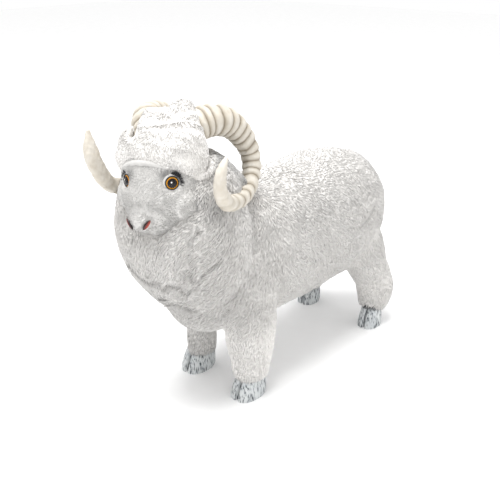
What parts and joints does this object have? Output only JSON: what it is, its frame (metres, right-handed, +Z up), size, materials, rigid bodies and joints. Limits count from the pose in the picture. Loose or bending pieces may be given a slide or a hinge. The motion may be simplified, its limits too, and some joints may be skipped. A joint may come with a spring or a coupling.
{
  "type": "ram figurine",
  "caption": "Standing merino ram figurine covered in white pile fabric, with curled ribbed horns, glass eyes, drooping ears and painted cloven hooves, made to stand on a shelf",
  "frame": {"origin": "centre of the bounding box seen from above, on the ground plane under the hooves", "axes": "+X is the ram's left, the ram faces -Y, +Z is up"},
  "size_m": [0.1104, 0.288, 0.229],
  "materials": {
    "fleece": "white wool-like pile, about 5 mm long, brushed in soft streaks",
    "face_pile": "short white pile with soft grey airbrushed shading",
    "moulded": "bare moulded plastic, hidden under the covering",
    "horn": "ivory satin plastic, ribbed, with brownish grooves",
    "hoof": "light grey paint with dry-brushed blue-grey streaks",
    "eye_amber": "painted amber ring round a black pupil",
    "eye_glass": "clear polished dome",
    "nostril": "glossy dark red",
    "lash": "dark brushed pile"
  },
  "bodies": {
    "root": {"torso_shell_left": "moulded", "torso_fleece_left": "fleece", "torso_shell_right": "moulded", "torso_fleece_right": "fleece", "neck_post": "moulded", "chest_bib": "fleece", "neck_collar": "fleece", "leg_core_front_left": "moulded", "leg_sleeve_front_left": "fleece", "hoof_front_left": "hoof", "leg_core_front_right": "moulded", "leg_sleeve_front_right": "fleece", "hoof_front_right": "hoof", "leg_core_rear_left": "moulded", "leg_sleeve_rear_left": "fleece", "hoof_rear_left": "hoof", "leg_core_rear_right": "moulded", "leg_sleeve_rear_right": "fleece", "hoof_rear_right": "hoof", "tail": "fleece", "horn_left": "horn", "horn_peg_left": "moulded", "ear_left": "face_pile", "horn_right": "horn", "horn_peg_right": "moulded", "ear_right": "face_pile", "head_core": "moulded", "face_skin": "face_pile", "topknot": "fleece", "brow_roll": "face_pile", "chin": "face_pile", "eye_glass_left": "eye_glass", "eye_disc_left": "eye_amber", "nostril_left": "nostril", "lash_left": "lash", "eye_glass_right": "eye_glass", "eye_disc_right": "eye_amber", "nostril_right": "nostril", "lash_right": "lash"}
  },
  "joints": []
}
